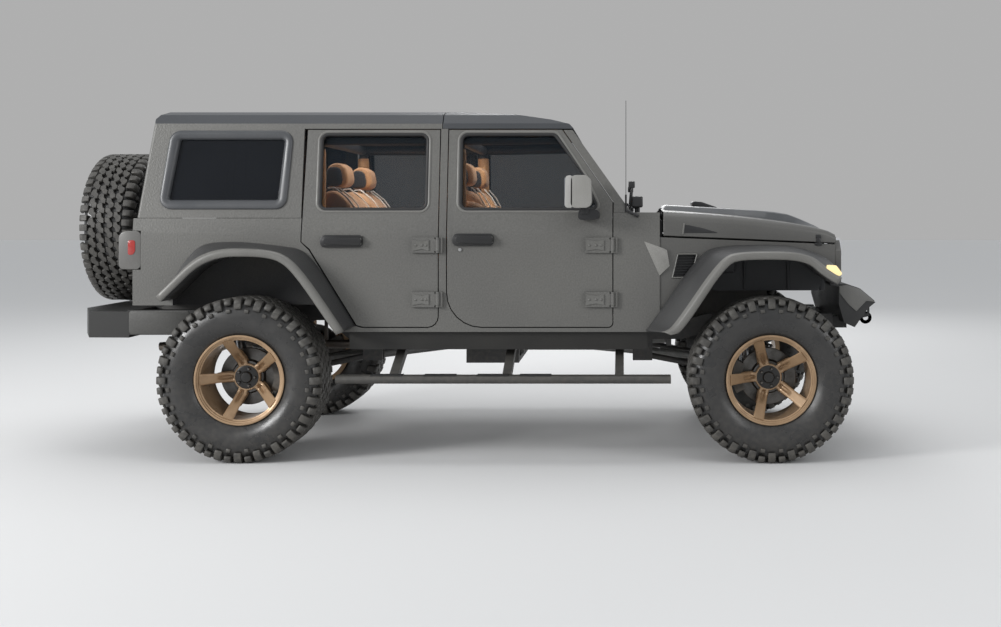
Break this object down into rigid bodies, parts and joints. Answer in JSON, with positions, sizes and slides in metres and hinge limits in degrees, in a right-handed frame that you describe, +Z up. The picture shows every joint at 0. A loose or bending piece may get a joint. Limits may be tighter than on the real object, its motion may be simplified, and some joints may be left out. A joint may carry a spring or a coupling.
{
  "type": "lifted off-road 4x4",
  "caption": "Lifted four-door off-road vehicle with hard top, beam axles, ladder frame, opening doors, bonnet and tailgate with spare wheel.",
  "frame": {"origin": "on the floor, under the middle of the vehicle", "axes": "+X forward, +Y to the left, +Z up"},
  "size_m": [4.816, 2, 2.021],
  "materials": {
    "chassis_black": "satin black",
    "floor_coat": "matt black coating",
    "body_paint": "matt warm dark grey",
    "cowl_black": "matt",
    "roof_paint": "matt blue grey",
    "clear_glass": "clear",
    "dark_glass": "dark tint",
    "flare_paint": "satin",
    "lamp_lens": "clear",
    "bumper_steel": "textured black",
    "step_steel": "textured black",
    "red_lens": "red lens",
    "spring_steel": "satin",
    "shock_alloy": "satin",
    "cast_block": "cast",
    "cast_alloy": "cast",
    "exhaust_steel": "stained",
    "tank_plastic": "matt",
    "tan_leather": "tan",
    "dash_plastic": "matt",
    "tyre_rubber": "rubber",
    "bronze_alloy": "bronze",
    "black_plastic": "satin"
  },
  "bodies": {
    "root": {"frame": "chassis_black", "floor_pan": "floor_coat", "body_sides": "body_paint", "cowl": "cowl_black", "windscreen_frame": "body_paint", "front_roof": "roof_paint", "hard_top": "body_paint", "windscreen": "clear_glass", "cargo_glass": "dark_glass", "fenders": "body_paint", "wheel_flares": "flare_paint", "grille": "body_paint", "headlamps": "lamp_lens", "front_bumper": "bumper_steel", "rear_bumper": "bumper_steel", "side_steps": "step_steel", "tail_lamps": "red_lens", "front_axle": "chassis_black", "rear_axle": "chassis_black", "control_arms": "chassis_black", "coil_springs": "spring_steel", "shock_absorbers": "shock_alloy", "engine": "cast_block", "driveline": "cast_alloy", "exhaust": "exhaust_steel", "fuel_tank": "tank_plastic", "front_seats": "tan_leather", "rear_seat": "tan_leather", "dashboard": "dash_plastic", "roll_bar": "tan_leather"},
    "front_left_wheel": {"front_left_tyre": "tyre_rubber", "front_left_rim": "bronze_alloy"},
    "front_right_wheel": {"front_right_tyre": "tyre_rubber", "front_right_rim": "bronze_alloy"},
    "rear_left_wheel": {"rear_left_tyre": "tyre_rubber", "rear_left_rim": "bronze_alloy"},
    "rear_right_wheel": {"rear_right_tyre": "tyre_rubber", "rear_right_rim": "bronze_alloy"},
    "left_knuckle": {"left_knuckle": "chassis_black"},
    "right_knuckle": {"right_knuckle": "chassis_black"},
    "tie_rod": {"tie_rod": "chassis_black"},
    "front_left_door": {"front_left_door": "body_paint", "front_left_glass": "clear_glass", "left_mirror": "black_plastic"},
    "front_right_door": {"front_right_door": "body_paint", "front_right_glass": "clear_glass", "right_mirror": "black_plastic"},
    "rear_left_door": {"rear_left_door": "body_paint", "rear_left_glass": "clear_glass"},
    "rear_right_door": {"rear_right_door": "body_paint", "rear_right_glass": "clear_glass"},
    "bonnet": {"bonnet": "roof_paint"},
    "tailgate": {"tailgate": "body_paint", "spare_tyre": "tyre_rubber", "spare_rim": "bronze_alloy"},
    "steering_wheel": {"steering_wheel": "dash_plastic"}
  },
  "joints": [
    {"name": "steering_right", "type": "hinge", "parent": "root", "child": "right_knuckle", "pos_m": [1.735, -0.66, 0.4675], "axis": [0, 0, 1], "range_deg": [-30, 30]},
    {"name": "steering_left", "type": "hinge", "parent": "root", "child": "left_knuckle", "pos_m": [1.735, 0.66, 0.4675], "axis": [0, 0, 1], "range_deg": [-30, 30]},
    {"name": "tie_rod_pivot", "type": "hinge", "parent": "left_knuckle", "child": "tie_rod", "pos_m": [1.905, 0.66, 0.4295], "axis": [0, 0, 1], "range_deg": [-30, 30]},
    {"name": "steering_wheel_turn", "type": "hinge", "parent": "root", "child": "steering_wheel", "pos_m": [0.657, 0.335, 1.284], "axis": [-0.9042, 0, 0.427], "range_deg": [-420, 420]},
    {"name": "front_left_wheel_spin", "type": "hinge", "parent": "left_knuckle", "child": "front_left_wheel", "pos_m": [1.735, 0.82, 0.4675], "axis": [0, 1, 0], "continuous": true},
    {"name": "rear_left_wheel_spin", "type": "hinge", "parent": "root", "child": "rear_left_wheel", "pos_m": [-1.273, 0.82, 0.4675], "axis": [0, 1, 0], "continuous": true},
    {"name": "front_left_door_hinge", "type": "hinge", "parent": "root", "child": "front_left_door", "pos_m": [0.838, 0.815, 0.9], "axis": [0, 0, -1], "range_deg": [0, 65]},
    {"name": "rear_left_door_hinge", "type": "hinge", "parent": "root", "child": "rear_left_door", "pos_m": [-0.17, 0.815, 0.9], "axis": [0, 0, -1], "range_deg": [0, 65]},
    {"name": "front_right_wheel_spin", "type": "hinge", "parent": "right_knuckle", "child": "front_right_wheel", "pos_m": [1.735, -0.82, 0.4675], "axis": [0, 1, 0], "continuous": true},
    {"name": "rear_right_wheel_spin", "type": "hinge", "parent": "root", "child": "rear_right_wheel", "pos_m": [-1.273, -0.82, 0.4675], "axis": [0, 1, 0], "continuous": true},
    {"name": "front_right_door_hinge", "type": "hinge", "parent": "root", "child": "front_right_door", "pos_m": [0.838, -0.815, 0.9], "axis": [0, 0, 1], "range_deg": [0, 65]},
    {"name": "rear_right_door_hinge", "type": "hinge", "parent": "root", "child": "rear_right_door", "pos_m": [-0.17, -0.815, 0.9], "axis": [0, 0, 1], "range_deg": [0, 65]},
    {"name": "tailgate_hinge", "type": "hinge", "parent": "root", "child": "tailgate", "pos_m": [-1.953, -0.642, 1], "axis": [0, 0, 1], "range_deg": [0, 90]},
    {"name": "bonnet_hinge", "type": "hinge", "parent": "root", "child": "bonnet", "pos_m": [1.112, 0, 1.401], "axis": [0, -1, 0], "range_deg": [0, 55]}
  ],
  "couplings": [
    {"joint": "steering_left", "follows": "steering_right", "ratio": 1},
    {"joint": "tie_rod_pivot", "follows": "steering_right", "ratio": -1},
    {"joint": "steering_wheel_turn", "follows": "steering_right", "ratio": 14}
  ]
}
